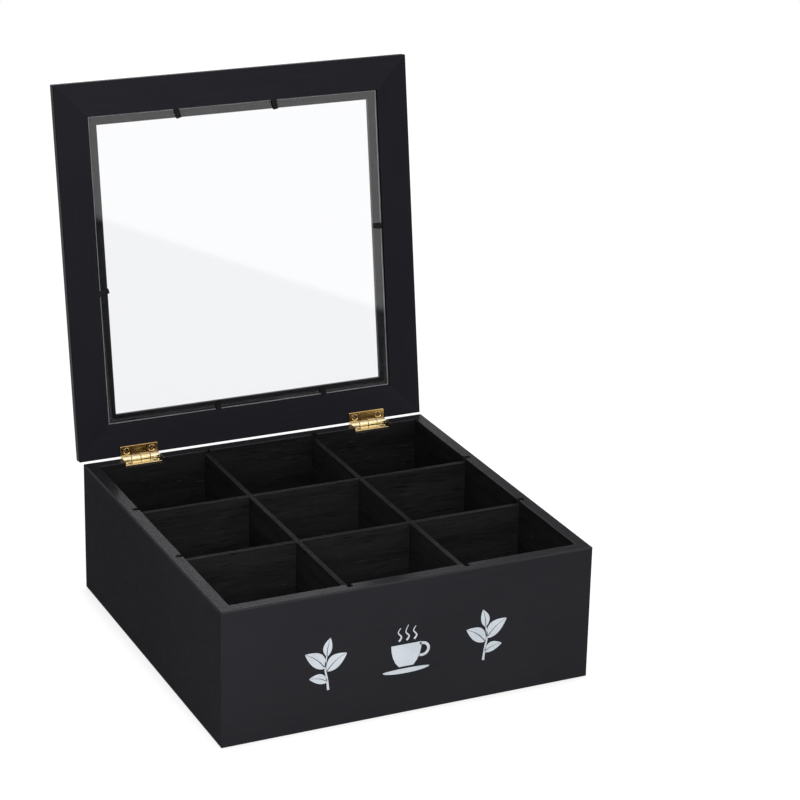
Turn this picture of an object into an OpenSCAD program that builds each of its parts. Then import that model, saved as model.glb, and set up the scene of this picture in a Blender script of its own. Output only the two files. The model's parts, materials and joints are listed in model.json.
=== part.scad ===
// Tea box with a windowed lid on two butt hinges and a lift-out divider.
// The origin is the middle of the underside of the box.
// X runs from left to right, Y from front to back, and Z up.
// The lid is drawn closed and then turned about the hinge axis to where it stands open.

/* [Box] */
// Width of the box, left to right
box_w = 237.5; // [200:0.5:300]
// Depth of the box, front to back
box_d = 237.5; // [200:0.5:300]
// Height of the box walls
box_h = 85.5; // [70:0.5:110]
// Thickness of the box walls
wall_t = 8; // [7:0.5:12]
// Thickness of the base panel
base_t = 8; // [4:0.5:12]
// Depth of the rebate in the walls that holds the base panel
base_rebate = 4; // [2:0.5:5]
// Rounding of the outer edges of the box and the lid
edge_r = 1; // [0.4:0.1:2]
// Rounding of the inner edges of the rim and the window
inner_r = 0.4; // [0.2:0.1:0.8]

/* [Lid] */
// Thickness of the lid frame
lid_t = 6.5; // [6:0.5:12]
// Width of the frame from its outer edge to the window
rail_w = 27.3; // [20:0.1:40]
// How far the rabbet for the pane runs under the window edge
rabbet_w = 6; // [4:0.5:8]
// Depth of the rabbet from the underside of the lid
rabbet_d = 3.5; // [3:0.5:5]
// How far the lid stands past each side of the box
lid_side_over = 1.25; // [0:0.25:3]
// How far the lid stands past the front of the box
lid_front_over = 2.5; // [0:0.1:6]
// How far the lid stands past the back of the box
lid_rear_over = 0; // [0:0.1:0.6]
// Gap between the closed lid and the rim
lid_gap = 0.3; // [0.2:0.1:0.8]
// Angle from closed to where the lid stands open, in degrees
lid_open = 98.5; // [90:0.5:110]

/* [Window] */
// Thickness of the pane
pane_t = 2; // [1.5:0.1:2.2]
// Gap between the pane and the rabbet on each side
pane_clear = 0.5; // [0.2:0.1:1.5]
// Bevel along the edges of the pane
pane_bevel = 0.3; // [0.1:0.1:0.5]
// Width of a glazing point
point_w = 3.5; // [2.5:0.1:5]
// Thickness of a glazing point
point_t = 0.8; // [0.4:0.1:1]
// How far a glazing point reaches over the pane from the rabbet wall
point_reach = 6.5; // [6:0.5:9]
// How far a glazing point is driven into the frame
point_bite = 4; // [2:0.5:6]
// Size of the cut-off corners at the free end of a glazing point
point_corner = 0.4; // [0.2:0.1:1.2]

/* [Divider] */
// Thickness of a divider board
board_t = 3; // [2.4:0.1:4]
// How far the top edges of the boards lie below the rim
board_drop = 3; // [1:0.5:12]
// Depth of the upright grooves in the walls
groove_d = 4; // [2:0.5:5]
// Gap on each side of a board in its groove
groove_clear = 0.3; // [0.2:0.05:0.5]
// Gap between a board's end and the bottom of its groove
board_end_clear = 0.5; // [0.2:0.1:1]
// Gap on each side of a board in the slot that it crosses
slot_clear = 0.2; // [0.1:0.05:0.4]
// Gap left between the two slots where boards cross
slot_gap = 0.5; // [0.3:0.1:1]

/* [Hinges] */
// Length of a hinge
hinge_l = 25; // [20:0.5:32]
// Distance from the side of the box to the middle of a hinge
hinge_inset = 38.75; // [28:0.25:60]
// Outer radius of the hinge knuckles
knuckle_r = 2; // [1.8:0.05:2.3]
// Number of knuckles along a hinge, shared in turn by lid and box
knuckle_n = 4; // [2:1:5]
// Gap between neighbouring knuckles
knuckle_gap = 0.4; // [0.2:0.05:0.5]
// How far the hinge axis lies behind the back of the box
axis_out = 1.4; // [1:0.1:2.2]
// Thickness of a hinge leaf
leaf_t = 1; // [0.8:0.05:1.2]
// Reach of a leaf from the hinge axis
leaf_reach = 8.1; // [7.8:0.1:8.8]
// Corner radius of the free corners of a leaf
leaf_corner_r = 0.7; // [0.3:0.1:2]
// How much wider than the leaf the notch in the rim is, on each side
notch_clear = 0.3; // [0.3:0.1:3]
// Radius of the hinge pin
pin_r = 1; // [0.6:0.05:1.2]
// Radial gap between the pin and the turning knuckles
pin_clear = 0.05; // [0.02:0.01:0.1]
// Bevel at the ends of the hinge pin
pin_bevel = 0.2; // [0.1:0.05:0.4]

/* [Screws] */
// Distance of a screw from the middle of its hinge
screw_x = 8.4; // [6:0.1:9]
// Distance of a screw from the hinge axis, along the leaf
screw_y = 4.9; // [4.6:0.1:5.2]
// Radius of the countersink at the face of the leaf
sink_r = 2.1; // [1.7:0.05:2.2]
// Radius of the screw shank
shank_r = 0.9; // [0.7:0.05:1.1]
// How far a screw head lies below the face of the leaf
head_drop = 0.2; // [0.05:0.01:0.25]
// Length of a screw in the lid
lid_screw_l = 5; // [4:0.5:5.5]
// Length of a screw in the box
box_screw_l = 8; // [6:0.5:16]
// Length of the cross recess in a screw head
recess_l = 2; // [1.4:0.1:2.2]
// Width of the cross recess in a screw head
recess_w = 0.55; // [0.3:0.05:0.7]
// Depth of the cross recess in a screw head
recess_d = 0.4; // [0.2:0.05:0.5]

/* [Hidden] */
$fn = 48;

paint_col = [0.14, 0.14, 0.15];
stain_col = [0.07, 0.07, 0.075];
pane_col = [0.8, 0.85, 0.86, 0.35];
steel_col = [0.05, 0.05, 0.055];
brass_col = [0.83, 0.66, 0.32];

// Amount by which a cutting shape runs past the face that it cuts
cut = 1;

// Inside of the box
inner_w = box_w - 2 * wall_t;
inner_d = box_d - 2 * wall_t;

// Three equal compartments each way, with a board in each gap between them
cell_w = (inner_w - 2 * board_t) / 3;
cell_d = (inner_d - 2 * board_t) / 3;
board_x = (cell_w + board_t) / 2;
board_y = (cell_d + board_t) / 2;
board_h = box_h - base_t - board_drop;
board_over = groove_d - board_end_clear;

// Hinge axis and the underside of the closed lid
lid_z = box_h + lid_gap;
axis_y = box_d / 2 + axis_out;
axis_z = lid_z - knuckle_r;
hinge_x = box_w / 2 - hinge_inset;
leaf_floor_z = axis_z - knuckle_r;
knuckle_l = (hinge_l + knuckle_gap) / knuckle_n;

// Closed lid
lid_w = box_w + 2 * lid_side_over;
lid_d = box_d + lid_front_over + lid_rear_over;
lid_mid_y = (lid_rear_over - lid_front_over) / 2;
pane_z = rabbet_d - pane_t;

// Glazing points: distance along the rail from the middle of the lid, and skew in degrees
front_points = [[-40.3, -15.5], [26.3, -9.5]];
rear_points = [[23.5, -1], [-51, -10]];
left_points = [[-13.5, -15]];
right_points = [[-9, 6]];

// Square corner at the origin, less the quarter round that stays
module corner_waste(r) {
    difference() {
        translate([-cut, -cut]) square(r + cut);
        translate([r, r]) circle(r);
    }
}

// Moves a shape to the corner of a w by h profile, turned to face outwards
module at_corner(w, h, right, top) {
    translate([right ? w : 0, top ? h : 0])
        mirror([right ? 1 : 0, 0]) mirror([0, top ? 1 : 0]) children();
}

// Straight board along X with a profile that runs inwards from y = -depth / 2, mitred at both ends
module mitred_board(length, depth, thick, height) {
    reach = thick + cut;
    difference() {
        intersection() {
            translate([-length / 2, -depth / 2, 0])
                rotate([90, 0, 90]) linear_extrude(length) children();
            translate([0, 0, -cut]) linear_extrude(height + 2 * cut) polygon([
                [-length / 2 - cut, -depth / 2 - cut], [length / 2 + cut, -depth / 2 - cut],
                [length / 2 - reach, -depth / 2 + reach], [-length / 2 + reach, -depth / 2 + reach]
            ]);
        }
        for (side = [0, 1]) mirror([side, 0, 0]) translate([-length / 2, -depth / 2, -cut])
            linear_extrude(height + 2 * cut) corner_waste(edge_r);
    }
}

// Section of a box wall, from its outer face inwards and from the underside up
module wall_profile() {
    difference() {
        square([wall_t, box_h]);
        at_corner(wall_t, box_h, false, false) corner_waste(edge_r);
        at_corner(wall_t, box_h, false, true) corner_waste(edge_r);
        at_corner(wall_t, box_h, true, true) corner_waste(inner_r);
        translate([wall_t - base_rebate, -cut]) square([base_rebate + cut, base_t + cut]);
    }
}

// Wall at the front of a box of this length and depth, with grooves for the divider
module wall(length, depth, groove_x) {
    groove_w = board_t + 2 * groove_clear;
    difference() {
        mitred_board(length, depth, wall_t, box_h) wall_profile();
        for (x = [-groove_x, groove_x])
            translate([x - groove_w / 2, -depth / 2 + wall_t - groove_d, base_t])
                cube([groove_w, groove_d + cut, box_h - base_t + cut]);
    }
}

module front_wall() {
    color(paint_col) wall(box_w, box_d, board_x);
}

module back_wall() {
    color(paint_col) difference() {
        rotate(180) wall(box_w, box_d, board_x);
        for (x = [-hinge_x, hinge_x]) {
            hinge_notch(x);
            translate([x, axis_y, axis_z]) screw_places()
                translate([0, 0, -knuckle_r - box_screw_l]) cylinder(r = shank_r, h = box_screw_l + cut);
        }
    }
}

module left_wall() {
    color(paint_col) rotate(-90) wall(box_d, box_w, board_y);
}

module right_wall() {
    color(paint_col) rotate(90) wall(box_d, box_w, board_y);
}

module base_panel() {
    w = inner_w + 2 * base_rebate;
    d = inner_d + 2 * base_rebate;
    color(stain_col) translate([-w / 2, -d / 2, 0]) cube([w, d, base_t]);
}

// Notch through the back rim that holds a hinge leaf and leaves room for the other
module hinge_notch(x) {
    w = hinge_l + 2 * notch_clear;
    translate([x - w / 2, box_d / 2 - wall_t - cut, leaf_floor_z])
        cube([w, wall_t + 2 * cut, box_h]);
}

// Moves the closed lid and all that is on it to where it stands open
module open_lid() {
    translate([0, axis_y, axis_z]) rotate([-lid_open, 0, 0])
        translate([0, -axis_y, -axis_z]) children();
}

// Moves a piece of the lid from the middle of its underside to the closed lid
module on_lid() {
    open_lid() translate([0, lid_mid_y, lid_z]) children();
}

// Section of a lid rail, from its outer edge inwards and from the underside up
module rail_profile() {
    difference() {
        square([rail_w, lid_t]);
        at_corner(rail_w, lid_t, false, false) corner_waste(edge_r);
        at_corner(rail_w, lid_t, false, true) corner_waste(edge_r);
        at_corner(rail_w, lid_t, true, true) corner_waste(inner_r);
        translate([rail_w - rabbet_w, -cut]) square([rabbet_w + cut, rabbet_d + cut]);
    }
}

// Rail at the front of a lid of this length and depth, slit for its glazing points
module rail(length, depth, points) {
    difference() {
        mitred_board(length, depth, rail_w, lid_t) rail_profile();
        glazing_points(depth, points);
    }
}

// Flat tab with a pointed end: y = 0 is the rabbet wall, and the point is at -Y
module glazing_point() {
    half = point_w / 2;
    shoulder = point_reach - point_corner;
    linear_extrude(point_t) polygon([
        [0, -point_bite], [half, half - point_bite], [half, shoulder], [half - point_corner, point_reach],
        [point_corner - half, point_reach], [-half, shoulder], [-half, half - point_bite]
    ]);
}

// Glazing points along the front rail, lying on the pane
module glazing_points(depth, points) {
    for (p = points)
        translate([p[0], -depth / 2 + rail_w - rabbet_w, pane_z - point_t])
            rotate(p[1]) glazing_point();
}

module lid_front_rail() {
    color(paint_col) on_lid() rail(lid_w, lid_d, front_points);
}

module lid_rear_rail() {
    color(paint_col) difference() {
        on_lid() rotate(180) rail(lid_w, lid_d, rear_points);
        for (x = [-hinge_x, hinge_x])
            open_lid() translate([x, axis_y, axis_z]) screw_places()
                cylinder(r = shank_r, h = knuckle_r + lid_screw_l);
    }
}

module lid_left_stile() {
    color(paint_col) on_lid() rotate(-90) rail(lid_d, lid_w, left_points);
}

module lid_right_stile() {
    color(paint_col) on_lid() rotate(90) rail(lid_d, lid_w, right_points);
}

// Flat plate with all the edges of its two faces bevelled
module bevelled_plate(w, d, t, bevel) {
    bar = bevel * sqrt(2);
    difference() {
        translate([-w / 2, -d / 2, 0]) cube([w, d, t]);
        for (z = [0, t], y = [-d / 2, d / 2]) translate([0, y, z])
            rotate([45, 0, 0]) cube([w + 2 * cut, bar, bar], center = true);
        for (z = [0, t], x = [-w / 2, w / 2]) translate([x, 0, z])
            rotate([0, 45, 0]) cube([bar, d + 2 * cut, bar], center = true);
    }
}

module window_pane() {
    edge = rail_w - rabbet_w + pane_clear;
    color(pane_col) on_lid() translate([0, 0, pane_z])
        bevelled_plate(lid_w - 2 * edge, lid_d - 2 * edge, pane_t, pane_bevel);
}

module glazing_points_front() {
    color(steel_col) on_lid() glazing_points(lid_d, front_points);
}

module glazing_points_rear() {
    color(steel_col) on_lid() rotate(180) glazing_points(lid_d, rear_points);
}

module glazing_point_left() {
    color(steel_col) on_lid() rotate(-90) glazing_points(lid_w, left_points);
}

module glazing_point_right() {
    color(steel_col) on_lid() rotate(90) glazing_points(lid_w, right_points);
}

// Divider board along X, with slots at the crossing boards, open at the top or the bottom
module divider_board(inner_l, slot_x, open_top) {
    length = inner_l + 2 * board_over;
    slot_w = board_t + 2 * slot_clear;
    slot_h = (board_h + slot_gap) / 2;
    translate([0, 0, base_t]) difference() {
        translate([-length / 2, -board_t / 2, 0]) cube([length, board_t, board_h]);
        for (x = [-slot_x, slot_x])
            translate([x - slot_w / 2, -board_t / 2 - cut, open_top ? board_h - slot_h : -cut])
                cube([slot_w, board_t + 2 * cut, slot_h + cut]);
    }
}

module divider_long_front() {
    color(stain_col) translate([0, -board_y, 0]) divider_board(inner_w, board_x, true);
}

module divider_long_rear() {
    color(stain_col) translate([0, board_y, 0]) divider_board(inner_w, board_x, true);
}

module divider_cross_left() {
    color(stain_col) translate([-board_x, 0, 0]) rotate(90) divider_board(inner_d, board_y, false);
}

module divider_cross_right() {
    color(stain_col) translate([board_x, 0, 0]) rotate(90) divider_board(inner_d, board_y, false);
}

// Middle of each screw of a hinge, seen from the hinge axis
module screw_places() {
    for (x = [-screw_x, screw_x]) translate([x, -screw_y, 0]) children();
}

// Length of hinge from the middle of one gap beside knuckle k to the next, widened at each end
module knuckle_span(k, widen) {
    translate([(k - knuckle_n / 2) * knuckle_l - widen, 0, 0]) rotate([90, 0, 90])
        linear_extrude(knuckle_l + 2 * widen) children();
}

// Leaf that lies below the hinge axis, with every second knuckle from the first that is its own
module hinge_leaf(first, bore_r) {
    half_gap = knuckle_gap / 2;
    room = knuckle_r + knuckle_gap;
    difference() {
        union() {
            translate([-hinge_l / 2, -leaf_reach, -knuckle_r]) linear_extrude(leaf_t) difference() {
                square([hinge_l, leaf_reach]);
                at_corner(hinge_l, leaf_reach, false, false) corner_waste(leaf_corner_r);
                at_corner(hinge_l, leaf_reach, true, false) corner_waste(leaf_corner_r);
            }
            for (k = [first : 2 : knuckle_n - 1]) knuckle_span(k, -half_gap) circle(knuckle_r);
        }
        for (k = [1 - first : 2 : knuckle_n - 1])
            knuckle_span(k, half_gap) translate([-room, -knuckle_r - cut]) square([room + cut, leaf_t + 2 * cut]);
        rotate([0, 90, 0]) cylinder(r = bore_r, h = hinge_l + 2 * cut, center = true);
        screw_places() translate([0, 0, -knuckle_r]) cylinder(r1 = shank_r, r2 = sink_r, h = leaf_t);
    }
}

// Countersunk wood screws of one leaf that lies below the hinge axis
module hinge_screws(length) {
    head_h = leaf_t - head_drop;
    head_r = sink_r - (sink_r - shank_r) * head_drop / leaf_t;
    tip_h = 2 * shank_r;
    screw_places() translate([0, 0, -knuckle_r]) difference() {
        union() {
            cylinder(r1 = shank_r, r2 = head_r, h = head_h);
            translate([0, 0, tip_h - length]) cylinder(r = shank_r, h = length - tip_h);
            translate([0, 0, -length]) cylinder(r1 = shank_r / 4, r2 = shank_r, h = tip_h);
        }
        for (a = [0, 90]) rotate(a)
            translate([-recess_l / 2, -recess_w / 2, head_h - recess_d]) cube([recess_l, recess_w, recess_d + cut]);
    }
}

// Pin through all knuckles, flush with the outer two and bevelled at both ends
module hinge_pin() {
    plain_half = hinge_l / 2 - pin_bevel;
    rotate([0, 90, 0]) cylinder(r = pin_r, h = 2 * plain_half, center = true);
    for (side = [0, 1]) mirror([side, 0, 0]) translate([plain_half, 0, 0])
        rotate([0, 90, 0]) cylinder(r1 = pin_r, r2 = pin_r - pin_bevel, h = pin_bevel);
}

// Places of the parts of a hinge whose middle is at x, on the box and on the lid
module on_box_hinge(x) {
    translate([x, axis_y, axis_z]) children();
}

module on_lid_hinge(x) {
    open_lid() translate([x, axis_y, axis_z]) mirror([0, 0, 1]) children();
}

module hinge_left_box_leaf() {
    color(brass_col) on_box_hinge(-hinge_x) hinge_leaf(1, pin_r);
}

module hinge_right_box_leaf() {
    color(brass_col) on_box_hinge(hinge_x) hinge_leaf(1, pin_r);
}

module hinge_left_lid_leaf() {
    color(brass_col) on_lid_hinge(-hinge_x) hinge_leaf(0, pin_r + pin_clear);
}

module hinge_right_lid_leaf() {
    color(brass_col) on_lid_hinge(hinge_x) hinge_leaf(0, pin_r + pin_clear);
}

module hinge_left_pin() {
    color(brass_col) on_box_hinge(-hinge_x) hinge_pin();
}

module hinge_right_pin() {
    color(brass_col) on_box_hinge(hinge_x) hinge_pin();
}

module hinge_left_box_screws() {
    color(brass_col) on_box_hinge(-hinge_x) hinge_screws(box_screw_l);
}

module hinge_right_box_screws() {
    color(brass_col) on_box_hinge(hinge_x) hinge_screws(box_screw_l);
}

module hinge_left_lid_screws() {
    color(brass_col) on_lid_hinge(-hinge_x) hinge_screws(lid_screw_l);
}

module hinge_right_lid_screws() {
    color(brass_col) on_lid_hinge(hinge_x) hinge_screws(lid_screw_l);
}

front_wall();
back_wall();
left_wall();
right_wall();
base_panel();
lid_front_rail();
lid_rear_rail();
lid_left_stile();
lid_right_stile();
window_pane();
glazing_points_front();
glazing_points_rear();
glazing_point_left();
glazing_point_right();
divider_long_front();
divider_long_rear();
divider_cross_left();
divider_cross_right();
hinge_left_box_leaf();
hinge_left_lid_leaf();
hinge_left_pin();
hinge_right_box_leaf();
hinge_right_lid_leaf();
hinge_right_pin();
hinge_left_box_screws();
hinge_left_lid_screws();
hinge_right_box_screws();
hinge_right_lid_screws();
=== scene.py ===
import json
import math

import bmesh
import bpy
from mathutils import Matrix, Vector


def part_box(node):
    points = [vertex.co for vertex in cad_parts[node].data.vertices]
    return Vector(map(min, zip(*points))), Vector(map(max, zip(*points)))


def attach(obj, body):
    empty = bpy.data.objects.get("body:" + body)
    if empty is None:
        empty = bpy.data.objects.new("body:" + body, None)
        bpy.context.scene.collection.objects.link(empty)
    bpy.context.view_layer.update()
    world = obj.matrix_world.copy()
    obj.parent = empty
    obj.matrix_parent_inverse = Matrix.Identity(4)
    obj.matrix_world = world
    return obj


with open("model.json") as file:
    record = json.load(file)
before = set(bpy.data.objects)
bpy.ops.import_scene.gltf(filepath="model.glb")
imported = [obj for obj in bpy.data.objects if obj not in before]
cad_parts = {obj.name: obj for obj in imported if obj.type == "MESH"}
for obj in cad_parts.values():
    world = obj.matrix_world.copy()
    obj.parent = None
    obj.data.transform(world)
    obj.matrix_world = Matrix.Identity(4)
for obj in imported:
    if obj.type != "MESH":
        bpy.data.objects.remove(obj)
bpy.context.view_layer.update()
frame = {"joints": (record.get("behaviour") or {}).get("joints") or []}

X, Y, Z = Vector((1, 0, 0)), Vector((0, 1, 0)), Vector((0, 0, 1))

# Sizes of the box, in metres, from the frame
wall_low, wall_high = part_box("left_wall")
BOX_W = -2 * wall_low.x
BOX_D = -2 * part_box("front_wall")[0].y
BOX_H = wall_high.z
WALL_T = wall_high.x - wall_low.x

# Gap between a board's end and its groove's floor, and how deep that floor is under the outer face
BOARD_END_CLEAR = 0.0005
GROOVE_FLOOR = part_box("divider_long_front")[0].x - BOARD_END_CLEAR - wall_low.x

# The hinge axis, and the turn that opens the lid about it
hinge = next(joint for joint in frame["joints"] if joint["name"] == "lid_hinge")
AXIS = Vector(hinge["pos_m"])
LID_OPEN = Matrix.Rotation(math.radians(-hinge["range_deg"][0]), 3, Vector(hinge["axis"]))
LID_UP = LID_OPEN @ Y
LID_OUT = LID_OPEN @ Z

# The lid is square and flush with the back of the box, and closed it lies this gap above the rim
LID_W = -2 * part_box("lid_left_stile")[0].x
LID_GAP = 0.0003
LID_CLOSED_MID = Vector((0, (BOX_D - LID_W) / 2, BOX_H + LID_GAP))
LID_MID = LID_OPEN @ (LID_CLOSED_MID - AXIS) + AXIS

# Half the width of the rabbet that holds the pane, and how far barer wood reaches from the lid's underside
PANE_CLEAR = 0.0005
RABBET_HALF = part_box("window_pane")[1].x + PANE_CLEAR
BARE_UP_TO = 0.0056

# Where each hinge's middle stands, half of its length, and its knuckles' underside and radius
pin_low, pin_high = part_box("hinge_right_pin")
HINGE_X = (pin_low.x + pin_high.x) / 2
HINGE_HALF = (pin_high.x - pin_low.x) / 2
KNUCKLE_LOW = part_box("hinge_right_box_leaf")[0].z
KNUCKLE_R = AXIS.z - KNUCKLE_LOW

# Radius within which an edge counts as worn, on wood, boards, brass and steel; on brass its paler edge is
# also a painted highlight
WOOD_EDGE = 0.0009
BOARD_EDGE = 0.0006
BRASS_EDGE = 0.0004
STEEL_EDGE = 0.0003

# Place, direction, roll and lens of the photograph's camera, fitted to the edges that it shows
SENSOR = 36.0
CAM_AT = Vector((-0.6072, -1.3627, 0.72151))
CAM_LOOK = Vector((0.40412, 0.84296, -0.35512))
CAM_ROLL = math.radians(1.32)
CAM_LENS = 118.63

# Width of the floor, how far its middle lies behind the box's, and how far under the box it lies
FLOOR_W = 2.4
FLOOR_BACK = 0.32
FLOOR_DOWN = 0.0002

# Thickness of the painted motifs, and how far the middle of it stands off the front
MOTIF_T = 0.00012
MOTIF_OFF = 0.00004


def add_camera():
    """The photograph's camera."""
    data = bpy.data.cameras.new("camera")
    data.sensor_fit = "HORIZONTAL"
    data.sensor_width = SENSOR
    data.lens = CAM_LENS
    data.clip_end = 20
    camera = bpy.data.objects.new("camera", data)
    bpy.context.scene.collection.objects.link(camera)
    turn = CAM_LOOK.to_track_quat("-Z", "Y").to_matrix() @ Matrix.Rotation(CAM_ROLL, 3, "Z")
    camera.matrix_world = Matrix.Translation(CAM_AT) @ turn.to_4x4()
    bpy.context.scene.camera = camera


class Nodes:
    """A material's or world's node tree, with short calls to add and join nodes."""

    def __init__(self, holder, output):
        holder.use_nodes = True
        self.holder = holder
        self.tree = holder.node_tree
        self.tree.nodes.clear()
        self.out = self.add(output)

    @classmethod
    def of_material(cls, name):
        return cls(bpy.data.materials.new(name), "ShaderNodeOutputMaterial")

    @classmethod
    def of_world(cls, name):
        return cls(bpy.data.worlds.new(name), "ShaderNodeOutputWorld")

    def add(self, kind, inputs=None, **settings):
        node = self.tree.nodes.new(kind)
        for key, value in settings.items():
            setattr(node, key, value)
        for key, value in (inputs or {}).items():
            self.put(node.inputs[key], value)
        return node

    def put(self, socket, value):
        if isinstance(value, bpy.types.NodeSocket):
            self.tree.links.new(value, socket)
        else:
            socket.default_value = value

    def math(self, operation, a, b=0.0):
        node = self.add("ShaderNodeMath", operation=operation)
        self.put(node.inputs[0], a)
        self.put(node.inputs[1], b)
        return node.outputs[0]

    def plus(self, a, b):
        return self.math("ADD", a, b)

    def minus(self, a, b):
        return self.math("SUBTRACT", a, b)

    def times(self, a, b):
        return self.math("MULTIPLY", a, b)

    def absolute(self, a):
        return self.math("ABSOLUTE", a)

    def larger(self, a, b):
        return self.math("MAXIMUM", a, b)

    def dot(self, a, b):
        return self.add("ShaderNodeVectorMath", {0: a, 1: b}, operation="DOT_PRODUCT").outputs["Value"]

    def step(self, value, low, high, to_low=0.0, to_high=1.0):
        """Smooth step that gives to_low where the value is at low and to_high where it is at high."""
        node = self.add("ShaderNodeMapRange", interpolation_type="SMOOTHSTEP")
        for key, v in (("Value", value), ("From Min", low), ("From Max", high),
                       ("To Min", to_low), ("To Max", to_high)):
            self.put(node.inputs[key], v)
        return node.outputs[0]

    def mix(self, factor, a, b):
        """Mix of two colours."""
        node = self.add("ShaderNodeMix", data_type="RGBA")
        self.put(node.inputs["Factor"], factor)
        self.put(node.inputs[6], a)
        self.put(node.inputs[7], b)
        return node.outputs[2]

    def blend(self, factor, a, b):
        """Mix of two numbers."""
        node = self.add("ShaderNodeMix", data_type="FLOAT")
        self.put(node.inputs["Factor"], factor)
        self.put(node.inputs[2], a)
        self.put(node.inputs[3], b)
        return node.outputs[0]

    def place(self):
        """Object coordinates in metres."""
        return self.add("ShaderNodeTexCoord").outputs["Object"]

    def split(self, vector):
        return self.add("ShaderNodeSeparateXYZ", {0: vector}).outputs

    def turned(self, along, across, through, offset=(0.0, 0.0, 0.0)):
        """Object coordinates in metres, turned so that X runs along the first direction."""
        # A turn can't mirror, so the last direction is flipped where the three are left-handed
        if along.cross(across).dot(through) < 0:
            through = -through
        turn = Matrix((along, across, through)).to_euler("XYZ")
        return self.add("ShaderNodeMapping", {
            "Vector": self.place(), "Rotation": tuple(turn), "Location": offset}).outputs[0]

    def noise(self, space, scale, detail=3.0, rough=0.55, distort=0.0):
        """Noise with so many features per metre along each direction of the space."""
        scaled = self.add("ShaderNodeMapping", {"Vector": space, "Scale": scale}).outputs[0]
        return self.add("ShaderNodeTexNoise", {
            "Vector": scaled, "Scale": 1.0, "Detail": detail, "Roughness": rough,
            "Distortion": distort}).outputs[0]

    def bump(self, height, strength, distance, under=None):
        node = self.add("ShaderNodeBump", {
            "Height": height, "Strength": strength, "Distance": distance})
        if under is not None:
            self.put(node.inputs["Normal"], under)
        return node.outputs[0]

    def openness(self, distance, samples):
        """1 on an open face, and less in a corner of about that size."""
        return self.add("ShaderNodeAmbientOcclusion", {"Distance": distance}, samples=samples).outputs["AO"]

    def round_edge(self, radius):
        """Normal of the surface with its edges slightly rounded."""
        return self.add("ShaderNodeBevel", {"Radius": radius}, samples=8).outputs[0]

    def outer_edge(self, radius):
        """1 on an outer edge of the piece and 0 on its flat faces."""
        flat = self.add("ShaderNodeNewGeometry").outputs["Normal"]
        return self.step(self.dot(self.round_edge(radius), flat), 0.97, 0.80)

    def principled(self, **inputs):
        """Shader whose inputs are named with underscores for spaces."""
        named = {key.replace("_", " "): value for key, value in inputs.items()}
        return self.add("ShaderNodeBsdfPrincipled", named).outputs[0]

    def finish(self, shader):
        self.put(self.out.inputs["Surface"], shader)
        return self.holder


def rgb(r, g, b, painted_light_level=1.0):
    """Solid colour, made darker or lighter by its last number, which paints shade or light into the colour.
    """
    return (r * painted_light_level, g * painted_light_level, b * painted_light_level, 1.0)


def stain(m, space, painted_light_level=1.0):
    """Colour, roughness and height of open-pored wood stained black, lighter or darker where painted light
    or shade is asked for.
    """
    broad = m.noise(space, (7, 85, 85), 3.0, 0.6, 0.4)
    fibre = m.noise(space, (60, 1500, 1500), 4.0, 0.65, 0.2)
    dash = m.noise(space, (95, 1150, 1150), 2.0, 0.5, 0.3)
    where = m.noise(space, (22, 60, 60), 2.0, 0.5)
    pore = m.noise(space, (70, 900, 900), 2.0, 0.5, 0.2)
    tone = m.mix(m.step(broad, 0.35, 0.68),
                 rgb(0.0060, 0.0058, 0.0064, painted_light_level), rgb(0.0110, 0.0107, 0.0113, painted_light_level))
    tone = m.mix(m.times(m.step(fibre, 0.42, 0.66), 0.45), tone, rgb(0.017, 0.0166, 0.0172, painted_light_level))
    limit = m.blend(m.step(where, 0.40, 0.70), 0.74, 0.63)
    light = m.step(dash, limit, m.plus(limit, 0.07))
    tone = m.mix(m.times(light, 0.75), tone, rgb(0.034, 0.033, 0.034))
    dark = m.step(pore, 0.40, 0.30)
    tone = m.mix(m.times(dark, 0.7), tone, rgb(0.0025, 0.0024, 0.0026))
    rough = m.step(fibre, 0.3, 0.7, 0.46, 0.66)
    height = m.plus(m.times(fibre, 0.5), m.times(dark, -0.8))
    height = m.plus(height, m.times(light, 0.35))
    return tone, rough, height


def paint(m, space, show_grain, painted_light_level, cool=1.0):
    """Colour, roughness and height of satin black paint over wood, bluer where cool is above 1, and lighter
    or darker where painted light or shade is asked for.
    """
    cloud = m.noise(space, (9, 14, 14), 3.0, 0.5)
    peel = m.noise(space, (900, 900, 900), 2.0, 0.5)
    fine = m.noise(space, (45, 950, 950), 4.0, 0.62, 0.15)
    line = m.noise(space, (28, 520, 520), 3.0, 0.55, 0.3)
    tone = m.mix(m.step(cloud, 0.3, 0.7),
                 rgb(0.0192, 0.0192, 0.0226 * cool, painted_light_level), rgb(0.0222, 0.0222, 0.0260 * cool, painted_light_level))
    seen = m.times(m.step(line, 0.50, 0.68), show_grain)
    tone = m.mix(seen, tone, rgb(0.028, 0.028, 0.030 * cool, painted_light_level))
    dark = m.step(fine, 0.40, 0.30)
    tone = m.mix(m.times(dark, show_grain), tone, rgb(0.004, 0.004, 0.0045))
    rough = m.plus(m.step(cloud, 0.3, 0.7, 0.36, 0.42), m.times(fine, 0.08))
    height = m.plus(m.times(peel, 0.30), m.times(fine, 0.55 * show_grain))
    height = m.plus(height, m.times(line, 0.35 * show_grain))
    return tone, rough, height


def wood_shader(m, tone, rough, height, strength, distance, polish=0.0):
    """Painted or stained wood, with a sheen where hands have polished it."""
    return m.principled(
        Base_Color=tone, Roughness=rough, IOR=1.45, Specular_IOR_Level=0.06,
        Coat_Weight=polish, Coat_Roughness=0.16, Coat_IOR=1.45,
        Normal=m.bump(height, strength, distance))


def notch_mask(m, place):
    """1 in the two notches that the hinges are let into, fading out at their ends."""
    off_hinge = m.absolute(m.minus(m.absolute(place[0]), HINGE_X))
    beside = m.step(off_hinge, HINGE_HALF + 0.0005, HINGE_HALF + 0.0001)
    return m.times(beside, m.step(place[2], KNUCKLE_LOW - 0.0004, KNUCKLE_LOW - 0.0001))


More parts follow.
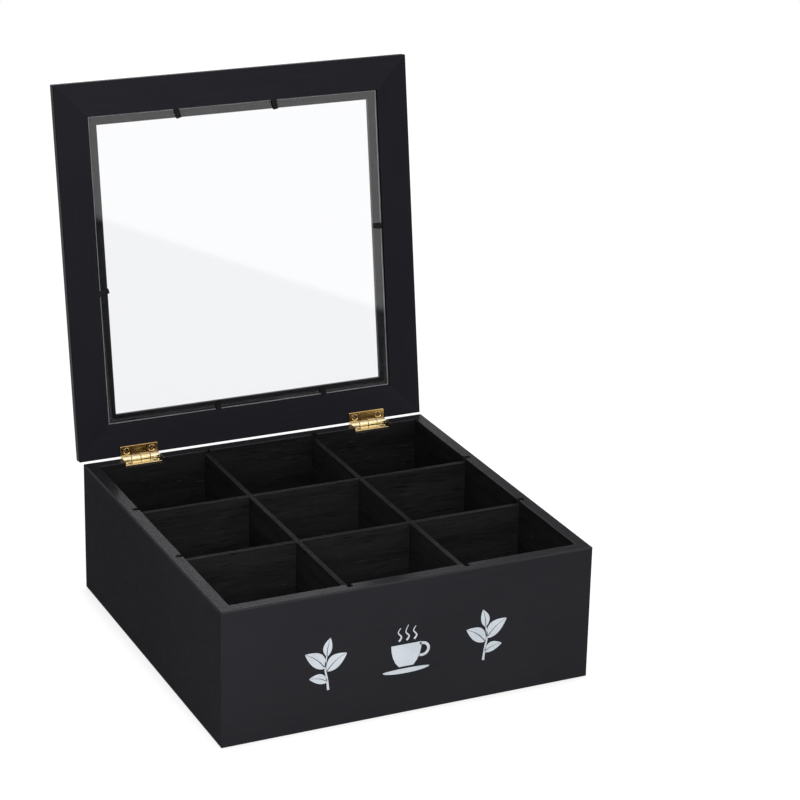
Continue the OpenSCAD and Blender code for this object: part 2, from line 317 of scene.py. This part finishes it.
def wall_material(name, along, inward, offset, painted_light_level):
    """Paint outside and on the rim, stained grain inside, and barer wood in grooves and notches."""
    m = Nodes.of_material(name)
    space = m.turned(along, Z, inward, offset)
    place = m.split(m.place())
    # How deep a point lies under the outer face
    side_wall = abs(inward.x) > 0.5
    half = (BOX_W if side_wall else BOX_D) / 2
    outward = -1.0 if inward.x + inward.y > 0 else 1.0
    deep = m.minus(half, m.times(place[0 if side_wall else 1], outward))
    z = place[2]
    # Each mask changes over some tenths of a millimetre, beside the face where the finish changes
    below = m.step(z, BOX_H - 0.0003, BOX_H - 0.0009)
    inside = m.times(m.step(deep, GROOVE_FLOOR - 0.0008, GROOVE_FLOOR - 0.0004), below)
    groove = m.times(inside, m.step(deep, WALL_T - 0.0003, WALL_T - 0.0007))
    rim = m.step(z, BOX_H - 0.0011, BOX_H - 0.0005)
    p_tone, p_rough, p_height = paint(m, space, show_grain=0.13, painted_light_level=painted_light_level)
    s_tone, s_rough, s_height = stain(m, space)
    raw = m.noise(space, (500, 700, 700), 3.0, 0.6)
    raw_tone = m.mix(m.step(raw, 0.40, 0.62), rgb(0.008, 0.0073, 0.0068), rgb(0.034, 0.029, 0.024))
    chip = m.noise(space, (130, 260, 260), 3.0, 0.6)
    rub = m.noise(space, (60, 400, 400), 2.0, 0.5)
    tone = m.mix(inside, m.mix(m.times(rim, 0.22), p_tone, rgb(0.004, 0.004, 0.004)), s_tone)
    tone = m.mix(m.times(groove, 0.75), tone, raw_tone)
    if inward.y < 0:
        tone = m.mix(m.times(notch_mask(m, place), 0.8), tone, raw_tone)
    worn = m.times(m.outer_edge(WOOD_EDGE), m.step(chip, 0.46, 0.66, 0.10, 0.55))
    tone = m.mix(worn, tone, rgb(0.040, 0.039, 0.039))
    p_rough = m.blend(rim, m.step(chip, 0.3, 0.7, 0.88, 0.98), m.step(rub, 0.3, 0.7, 0.23, 0.27))
    rough = m.blend(inside, p_rough, s_rough)
    height = m.blend(inside, p_height, s_height)
    height = m.plus(height, m.times(m.times(raw, groove), 1.6))
    polish = m.times(rim, m.step(rub, 0.3, 0.7, 0.24, 0.32))
    strength = m.blend(inside, 0.16, 0.55)
    return m.finish(wood_shader(m, tone, rough, height, strength, distance=0.00022, polish=polish))


def lid_material(name, along, across, offset, painted_light_level):
    """Satin paint with faint mitre lines, and barer wood in the rabbet that shows through the pane."""
    m = Nodes.of_material(name)
    space = m.turned(along, across, LID_OUT, offset)
    flat = m.split(m.turned(along, across, LID_OUT))
    off_x = m.absolute(m.minus(flat[0], LID_MID.dot(along)))
    off_y = m.absolute(m.minus(flat[1], LID_MID.dot(across)))
    joint = m.step(m.absolute(m.minus(off_y, off_x)), 0.00028, 0.00008)
    above = m.minus(m.dot(m.place(), tuple(LID_OUT)), LID_MID.dot(LID_OUT))
    in_rabbet = m.step(m.larger(off_x, off_y), RABBET_HALF, RABBET_HALF - 0.0002)
    ledge = m.times(m.step(above, BARE_UP_TO, BARE_UP_TO - 0.0006), in_rabbet)
    tone, rough, height = paint(m, space, show_grain=0.30, painted_light_level=painted_light_level, cool=1.14)
    tone = m.mix(m.times(joint, 0.7), tone, rgb(0.003, 0.003, 0.0032))
    chip = m.noise(space, (120, 240, 240), 3.0, 0.6)
    bare = m.times(ledge, m.step(chip, 0.3, 0.6, 0.75, 1.0))
    tone = m.mix(bare, tone, rgb(0.042, 0.0415, 0.045))
    worn = m.times(m.outer_edge(WOOD_EDGE), m.step(chip, 0.46, 0.66, 0.12, 0.6))
    tone = m.mix(worn, tone, rgb(0.042, 0.041, 0.041))
    height = m.minus(height, m.times(joint, 0.6))
    return m.finish(wood_shader(m, tone, rough, height, strength=0.16, distance=0.00020))


def board_material(name, along, across, through, offset):
    """Stained wood with rubbed edges, painted lighter as if more light fell on it."""
    m = Nodes.of_material(name)
    space = m.turned(along, across, through, offset)
    # The higher tone paints these boards lighter than the walls' inside: painted light
    tone, rough, height = stain(m, space, painted_light_level=1.45)
    chip = m.noise(space, (160, 300, 300), 3.0, 0.6)
    worn = m.times(m.outer_edge(BOARD_EDGE), m.step(chip, 0.42, 0.64, 0.15, 0.75))
    tone = m.mix(worn, tone, rgb(0.055, 0.050, 0.046))
    return m.finish(wood_shader(m, tone, rough, height, strength=0.6, distance=0.00022))


def brass_material(name, along, across, through, bright, dull, rounding, shaded_plate=None):
    """Sheet brass with rolling lines, small pits and tarnish, pale edges that are partly wear and partly a
    painted highlight, painted shade in its gaps and countersinks, and where given a darker tone for its flat
    leaf, which is painted shade.
    """
    m = Nodes.of_material(name)
    space = m.turned(along, across, through)
    lines = m.noise(space, (260, 4200, 4200), 3.0, 0.6)
    pits = m.noise(space, (1500, 1500, 1500), 2.0, 0.5)
    tarnish = m.step(m.noise(space, (150, 190, 190), 4.0, 0.6), 0.50, 0.72)
    if shaded_plate is not None:
        place = m.split(m.place())
        off_y, off_z = m.minus(place[1], AXIS.y), m.minus(place[2], AXIS.z)
        off = m.math("SQRT", m.plus(m.times(off_y, off_y), m.times(off_z, off_z)))
        # The lid leaf's plate takes a darker, browner tone: painted shade for the darker light it mirrors
        bright = m.mix(m.step(off, KNUCKLE_R + 0.0002, KNUCKLE_R + 0.0010), bright, shaded_plate)
    tone = m.mix(m.times(tarnish, 0.35), bright, dull)
    # Pale edges, partly worn brass and partly a painted highlight along every edge
    tone = m.mix(m.times(m.outer_edge(BRASS_EDGE), 0.7), tone, rgb(0.95, 0.86, 0.60))
    # Painted shade: dark brown where the AO node finds the knuckle gaps and countersinks
    tone = m.mix(m.step(m.openness(0.0011, 6), 0.75, 0.25), tone, rgb(0.075, 0.040, 0.012))
    rough = m.plus(m.step(lines, 0.35, 0.65, 0.12, 0.17), m.times(tarnish, 0.08))
    height = m.plus(m.times(lines, 0.6), m.times(m.step(pits, 0.36, 0.30), -0.5))
    return m.finish(m.principled(
        Base_Color=tone, Metallic=1.0, Roughness=rough,
        Normal=m.bump(height, 0.15, 0.00003, m.round_edge(rounding))))


def steel_material():
    """Black enamelled spring steel, scratched and lighter at its edges."""
    m = Nodes.of_material("black_steel_look")
    space = m.turned(X, Y, Z)
    scratch = m.noise(space, (300, 2600, 700), 3.0, 0.6)
    speck = m.noise(space, (1300, 1300, 1300), 2.0, 0.5)
    bare = rgb(0.03, 0.03, 0.031)
    tone = m.mix(m.step(speck, 0.4, 0.65), rgb(0.0035, 0.0035, 0.004), rgb(0.0075, 0.0075, 0.008))
    tone = m.mix(m.times(m.step(scratch, 0.62, 0.70), 0.5), tone, bare)
    tone = m.mix(m.times(m.outer_edge(STEEL_EDGE), 0.3), tone, bare)
    height = m.plus(m.times(speck, 0.4), m.times(scratch, 0.3))
    return m.finish(m.principled(
        Base_Color=tone, Roughness=m.step(speck, 0.3, 0.7, 0.40, 0.52), Specular_IOR_Level=0.1,
        Normal=m.bump(height, 0.25, 0.00004, m.round_edge(0.0002))))


def glass_material():
    """Clear pane with ground edges and a very slight wave."""
    m = Nodes.of_material("clear_glass_look")
    space = m.turned(X, LID_UP, LID_OUT)
    wave = m.noise(space, (6, 6, 6), 1.0, 0.4)
    pane = m.principled(
        Base_Color=rgb(0.853, 0.857, 0.868), Roughness=0.0, IOR=1.5,
        Transmission_Weight=1.0, Normal=m.bump(wave, 0.01, 0.0002))
    # The object's own normal turns with the lid, so the rim stays the rim at any opening
    own_normal = m.add("ShaderNodeTexCoord").outputs["Normal"]
    rim = m.step(m.absolute(m.dot(own_normal, tuple(LID_OUT))), 0.97, 0.80)
    grind = m.noise(space, (900, 900, 900), 3.0, 0.6)
    rim_tone = m.mix(m.step(grind, 0.35, 0.65), rgb(0.60, 0.63, 0.63), rgb(0.85, 0.88, 0.88))
    ground = m.principled(
        Base_Color=rim_tone, Roughness=m.step(grind, 0.3, 0.7, 0.35, 0.55), IOR=1.5,
        Transmission_Weight=0.35, Normal=m.bump(grind, 0.4, 0.00006))
    return m.finish(m.add("ShaderNodeMixShader", {0: rim, 1: pane, 2: ground}).outputs[0])


def dress(node, material):
    """Gives a CAD node its look and leaves its mesh as it is."""
    for slot in bpy.data.objects[node].material_slots:
        slot.link = "OBJECT"
        slot.material = material


def dress_wood():
    """Each piece has its own stretch of grain, from the offset of its noise."""
    # The left wall's lower tone is painted shade, for the lesser light on that side
    for name, along, inward, offset, painted_light_level in (
            ("front_wall", X, Y, (0.31, 0.0, 0.0), 1.0),
            ("back_wall", X, -Y, (1.27, 0.1, 0.0), 1.0),
            ("left_wall", Y, X, (2.53, 0.2, 0.0), 0.80),
            ("right_wall", Y, -X, (3.91, 0.3, 0.0), 1.0)):
        dress(name, wall_material(name + "_look", along, inward, offset, painted_light_level))
    # The lid's pieces take a lower tone as painted shade for the lesser light on the raised lid, darkest on
    # its stiles
    for name, along, across, offset, painted_light_level in (
            ("lid_front_rail", X, LID_UP, (5.1, 0.1, 0.0), 0.66),
            ("lid_rear_rail", X, LID_UP, (6.1, 0.1, 0.0), 0.66),
            ("lid_left_stile", LID_UP, X, (7.3, 0.2, 0.0), 0.53),
            ("lid_right_stile", LID_UP, X, (8.3, 0.2, 0.0), 0.53)):
        dress(name, lid_material(name + "_look", along, across, offset, painted_light_level))
    for name, along, across, through, shift in (
            ("base_panel", X, Y, Z, 4.6),
            ("divider_long_front", X, Z, Y, 9.2),
            ("divider_long_rear", X, Z, Y, 10.2),
            ("divider_cross_left", Y, Z, X, 12.4),
            ("divider_cross_right", Y, Z, X, 13.4)):
        dress(name, board_material(name + "_look", along, across, through, (shift, 0.0, 0.0)))


def dress_metal():
    steel = steel_material()
    for name in ("glazing_points_front", "glazing_points_rear", "glazing_point_left", "glazing_point_right"):
        dress(name, steel)
    bright, dull = rgb(0.79, 0.69, 0.44), rgb(0.50, 0.31, 0.10)
    # Darker brown for the lid leaf's plate, as painted shade
    shaded_plate = rgb(0.65, 0.38, 0.11)
    # Much darker brass for the screw heads: painted shade for their countersinks and recesses
    shaded_screw_bright, shaded_screw_dull = rgb(0.30, 0.17, 0.06), rgb(0.10, 0.055, 0.018)
    leaf_round, pin_round = 0.00035, 0.0001
    box_leaf = brass_material("brass_box_leaf_look", X, Y, Z, bright, dull, leaf_round)
    lid_leaf = brass_material("brass_lid_leaf_shaded_look", X, LID_UP, LID_OUT, bright, dull, leaf_round, shaded_plate)
    pin = brass_material("brass_pin_look", Y, X, Z, bright, dull, pin_round)
    screw = brass_material("brass_screw_shaded_look", X, Y, Z, shaded_screw_bright, shaded_screw_dull, pin_round)
    for side in ("left", "right"):
        dress(f"hinge_{side}_box_leaf", box_leaf)
        dress(f"hinge_{side}_lid_leaf", lid_leaf)
        dress(f"hinge_{side}_pin", pin)
        dress(f"hinge_{side}_box_screws", screw)
        dress(f"hinge_{side}_lid_screws", screw)


def leaf_halves(base, tip, width, gap, bend):
    """Two outlines of a pointed leaf, one on each side of its midrib."""
    base, tip = Vector(base), Vector(tip)
    run = tip - base
    side = Vector((-run.y, run.x)).normalized()
    halves = []
    for sign in (-1, 1):
        rib, edge = [], []
        for i in range(17):
            t = i / 16
            mid = base + run * t + side * (bend * math.sin(math.pi * t))
            swell = width / 2 * math.sin(math.pi * t ** 0.85) ** 0.9 if 0 < t < 1 else 0.0
            half_gap = gap / 2 * (1 - 0.7 * t)
            rib.append(mid + side * (sign * half_gap))
            edge.append(mid + side * (sign * (half_gap + swell)))
        halves.append(rib + edge[::-1][1:-1])
    return halves


def smooth_line(points):
    """Points of a smooth curve through the given ones, eight to a stretch."""
    points = [Vector(p) for p in points]
    smooth = []
    for i in range(len(points) - 1):
        before, after = points[max(i - 1, 0)], points[min(i + 2, len(points) - 1)]
        for k in range(8):
            t = k / 8
            a = 2 * points[i] + (points[i + 1] - before) * t
            b = (2 * before - 5 * points[i] + 4 * points[i + 1] - after) * t ** 2
            c = (3 * points[i] - before - 3 * points[i + 1] + after) * t ** 3
            smooth.append((a + b + c) / 2)
    smooth.append(points[-1])
    return smooth


def tapered_line(points, start, end):
    """Outline of a line through the points that narrows from one width to the other."""
    smooth = smooth_line(points)
    last = len(smooth) - 1
    left, right = [], []
    for i, p in enumerate(smooth):
        run = smooth[min(i + 1, last)] - smooth[max(i - 1, 0)]
        side = Vector((-run.y, run.x)).normalized()
        half = (start + (end - start) * i / last) / 2
        left.append(p + side * half)
        right.append(p - side * half)
    return left + right[::-1]


def sprig_outlines(mirror):
    """Stem and four leaves, in millimetres about the sprig's middle."""
    shapes = [tapered_line([(1.5, -16.5), (0.6, -9), (-0.6, -2), (0.4, 5.5)], 1.5, 0.7)]
    shapes += leaf_halves((0.4, 5.2), (2.6, 16.6), 5.2, 0.55, 0.5)
    shapes += leaf_halves((-0.5, -2.2), (-13.2, 8.6), 8.2, 0.6, -1.2)
    shapes += leaf_halves((0.5, -4.2), (13.0, 5.2), 8.2, 0.6, 1.2)
    shapes += leaf_halves((0.9, -11.0), (-10.6, -7.4), 5.8, 0.5, -1.0)
    if mirror:
        shapes = [[Vector((-p.x, p.y)) for p in reversed(shape)] for shape in shapes]
    return shapes


def cup_outlines():
    """Cup, handle, saucer and three lines of steam, in millimetres about the cup's middle."""
    side = [(9.8, 4.6), (9.5, 0.6), (8.6, -3.2), (6.9, -6.8), (4.6, -9.6)]
    body = [Vector(p) for p in side] + [Vector((-x, y)) for x, y in reversed(side)]
    outer, inner = (
        [Vector((10.2 + rx * math.cos(a), -0.4 + ry * math.sin(a)))
         for a in (math.radians(-112 + 224 * i / 24) for i in range(25))]
        for rx, ry in ((5.0, 4.7), (3.2, 3.0)))
    saucer = [Vector((15.0 * math.cos(a), -11.9 + (2.2 if math.sin(a) < 0 else 0.9) * math.sin(a)))
              for a in (2 * math.pi * i / 48 for i in range(48))]
    steam = [tapered_line([(x, 7.0), (x + 1.5, 9.6), (x - 0.6, 12.6), (x + 1.0, top)], 1.3, 0.35)
             for x, top in ((-4.9, 15.4), (0.0, 16.8), (4.9, 15.4))]
    return [body, outer + inner[::-1], saucer] + steam


def filled_shape(name, outline):
    """Mesh of a thin flat shape with a rounded edge, from its outline in millimetres."""
    quarter = MOTIF_T / 4
    curve = bpy.data.curves.new(name, "CURVE")
    curve.dimensions = "2D"
    curve.fill_mode = "BOTH"
    curve.extrude = quarter
    curve.bevel_depth = quarter
    curve.bevel_resolution = 1
    curve.offset = -quarter
    spline = curve.splines.new("POLY")
    spline.points.add(len(outline) - 1)
    for point, p in zip(spline.points, outline):
        point.co = (p.x / 1000, p.y / 1000, 0, 1)
    spline.use_cyclic_u = True
    source = bpy.data.objects.new(name + "_outline", curve)
    bpy.context.scene.collection.objects.link(source)
    bpy.context.view_layer.update()
    mesh = bpy.data.meshes.new_from_object(source.evaluated_get(bpy.context.evaluated_depsgraph_get()))
    bpy.data.objects.remove(source)
    return mesh


def motif(name, outlines, at_x, at_z, material):
    """Thin painted shapes on the front of the box, given in millimetres about their middle's place."""
    whole = bmesh.new()
    for outline in outlines:
        whole.from_mesh(filled_shape(name, outline))
    upright = Matrix.Rotation(math.pi / 2, 4, "X")
    place = Matrix.Translation((at_x, -BOX_D / 2 - MOTIF_OFF, at_z)) @ upright
    bmesh.ops.transform(whole, matrix=place, verts=whole.verts)
    bmesh.ops.remove_doubles(whole, verts=whole.verts, dist=1e-7)
    mesh = bpy.data.meshes.new(name)
    whole.to_mesh(mesh)
    whole.free()
    mesh.materials.clear()
    mesh.materials.append(material)
    piece = bpy.data.objects.new(name, mesh)
    bpy.context.scene.collection.objects.link(piece)
    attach(piece, "box")


def motif_material():
    """Pale screen paint with a fine dimpled surface, thin in places where the black shows through."""
    m = Nodes.of_material("pale_paint_look")
    space = m.turned(X, Z, Y)
    cloud = m.noise(space, (60, 60, 60), 3.0, 0.55)
    fine = m.noise(space, (1100, 1100, 1100), 3.0, 0.6)
    thin = m.noise(space, (480, 900, 900), 3.0, 0.6)
    tone = m.mix(m.step(cloud, 0.35, 0.65), rgb(0.54, 0.585, 0.635), rgb(0.62, 0.665, 0.715))
    tone = m.mix(m.times(m.step(thin, 0.66, 0.76), 0.35), tone, rgb(0.20, 0.21, 0.23))
    return m.finish(m.principled(
        Base_Color=tone, Roughness=m.step(fine, 0.3, 0.7, 0.42, 0.56),
        Normal=m.bump(fine, 0.25, 0.00005)))


def add_motifs():
    look = motif_material()
    for name, outlines, at_x, at_z in (
            ("motif_sprig_left", sprig_outlines(False), -0.0540, 0.0410),
            ("motif_cup", cup_outlines(), -0.0030, 0.0400),
            ("motif_sprig_right", sprig_outlines(True), 0.0490, 0.0410)):
        motif(name, outlines, at_x, at_z, look)


def mirrored_studio(m, x, y, z):
    """What gloss sees: in front a screen above a slanting edge, behind a narrow one and a ceiling."""
    slant, edge_z, edge_soft = 0.478, 0.132, 0.004
    front = m.step(m.plus(z, m.times(x, slant)), edge_z, edge_z + edge_soft, 0.02, 1.90)
    front = m.times(front, m.step(z, 0.30, 0.65, 1.0, 0.62))
    right_end = m.step(m.minus(x, m.times(y, 0.466)), 0.07, -0.06)
    left_end = m.step(m.plus(x, m.times(y, 0.25)), -0.10, 0.10)
    screen = m.times(m.times(right_end, left_end), m.step(z, -0.05, 0.05))
    ceiling = m.step(z, 0.45, 0.80, 0.08, 1.10)
    ground = m.step(z, 0.0, -0.04)
    back = m.larger(m.larger(ceiling, m.times(screen, 1.70)), ground)
    return m.blend(m.step(y, -0.12, 0.12), front, back)


def soft_light(m, x, y, z):
    """What lights the object: a glow that is stronger from above, from the right and from behind."""
    sideways = m.times(m.step(x, -0.7, 0.2, 0.45, 1.10), m.step(y, -0.1, 0.5, 1.05, 1.60))
    return m.times(m.step(z, -0.1, 0.7, 0.45, 0.80), sideways)


def world_light():
    """White to the camera and through glass, with a studio in gloss and a soft glow for the rest."""
    m = Nodes.of_world("studio")
    x, y, z = m.split(m.add("ShaderNodeTexCoord").outputs["Generated"])
    path = m.add("ShaderNodeLightPath").outputs
    straight = m.larger(path["Is Camera Ray"], path["Is Transmission Ray"])
    lit = m.blend(path["Is Glossy Ray"], soft_light(m, x, y, z), mirrored_studio(m, x, y, z))
    strength = m.blend(straight, lit, 1.0)
    glow = m.add("ShaderNodeBackground", {"Color": rgb(1, 1, 1), "Strength": strength})
    bpy.context.scene.world = m.finish(glow.outputs[0])


def lamp(name, energy, size, place, aim):
    """Soft square lamp that points from its place at a spot, hidden from the camera and through glass."""
    data = bpy.data.lights.new(name, "AREA")
    data.energy = energy
    data.shape = "SQUARE"
    data.size = size
    piece = bpy.data.objects.new(name, data)
    bpy.context.scene.collection.objects.link(piece)
    piece.location = place
    piece.rotation_euler = (Vector(aim) - Vector(place)).to_track_quat("-Z", "Y").to_euler()
    piece.visible_camera = False
    piece.visible_transmission = False


def floor_material():
    """White paper with a painted contact shadow by the object to the camera, in gloss and through glass, and
    a plain table to all other light.
    """
    m = Nodes.of_material("floor")
    path = m.add("ShaderNodeLightPath").outputs
    seen = m.larger(path["Is Camera Ray"], m.larger(path["Is Glossy Ray"], path["Is Transmission Ray"]))
    table = m.add("ShaderNodeBsdfDiffuse", {"Color": rgb(0.60, 0.60, 0.60)}).outputs[0]
    paper = m.add("ShaderNodeBsdfDiffuse", {"Color": rgb(0.35, 0.35, 0.35)}).outputs[0]
    # The glow dims near the object's foot, by the AO node: a painted contact shadow
    painted_light_level = m.step(m.openness(0.014, 8), 0.45, 0.95, 0.68, 0.80)
    glow = m.add("ShaderNodeEmission", {"Color": rgb(1, 1, 1), "Strength": painted_light_level}).outputs[0]
    bright = m.add("ShaderNodeAddShader", {0: paper, 1: glow}).outputs[0]
    return m.finish(m.add("ShaderNodeMixShader", {0: seen, 1: table, 2: bright}).outputs[0])


def floor():
    """Pale floor that looks white and keeps the object's shadow."""
    bpy.ops.mesh.primitive_plane_add(size=FLOOR_W, location=(0, FLOOR_BACK, -FLOOR_DOWN))
    piece = bpy.context.object
    piece.name = "floor"
    piece.data.materials.append(floor_material())


bpy.context.scene.view_settings.view_transform = "Standard"
add_camera()
lamp("key", energy=2.4, size=0.40, place=(-0.24, -0.52, 0.44), aim=(0.0, 0.0, 0.10))
dress_wood()
dress("window_pane", glass_material())
dress_metal()
add_motifs()
world_light()
floor()
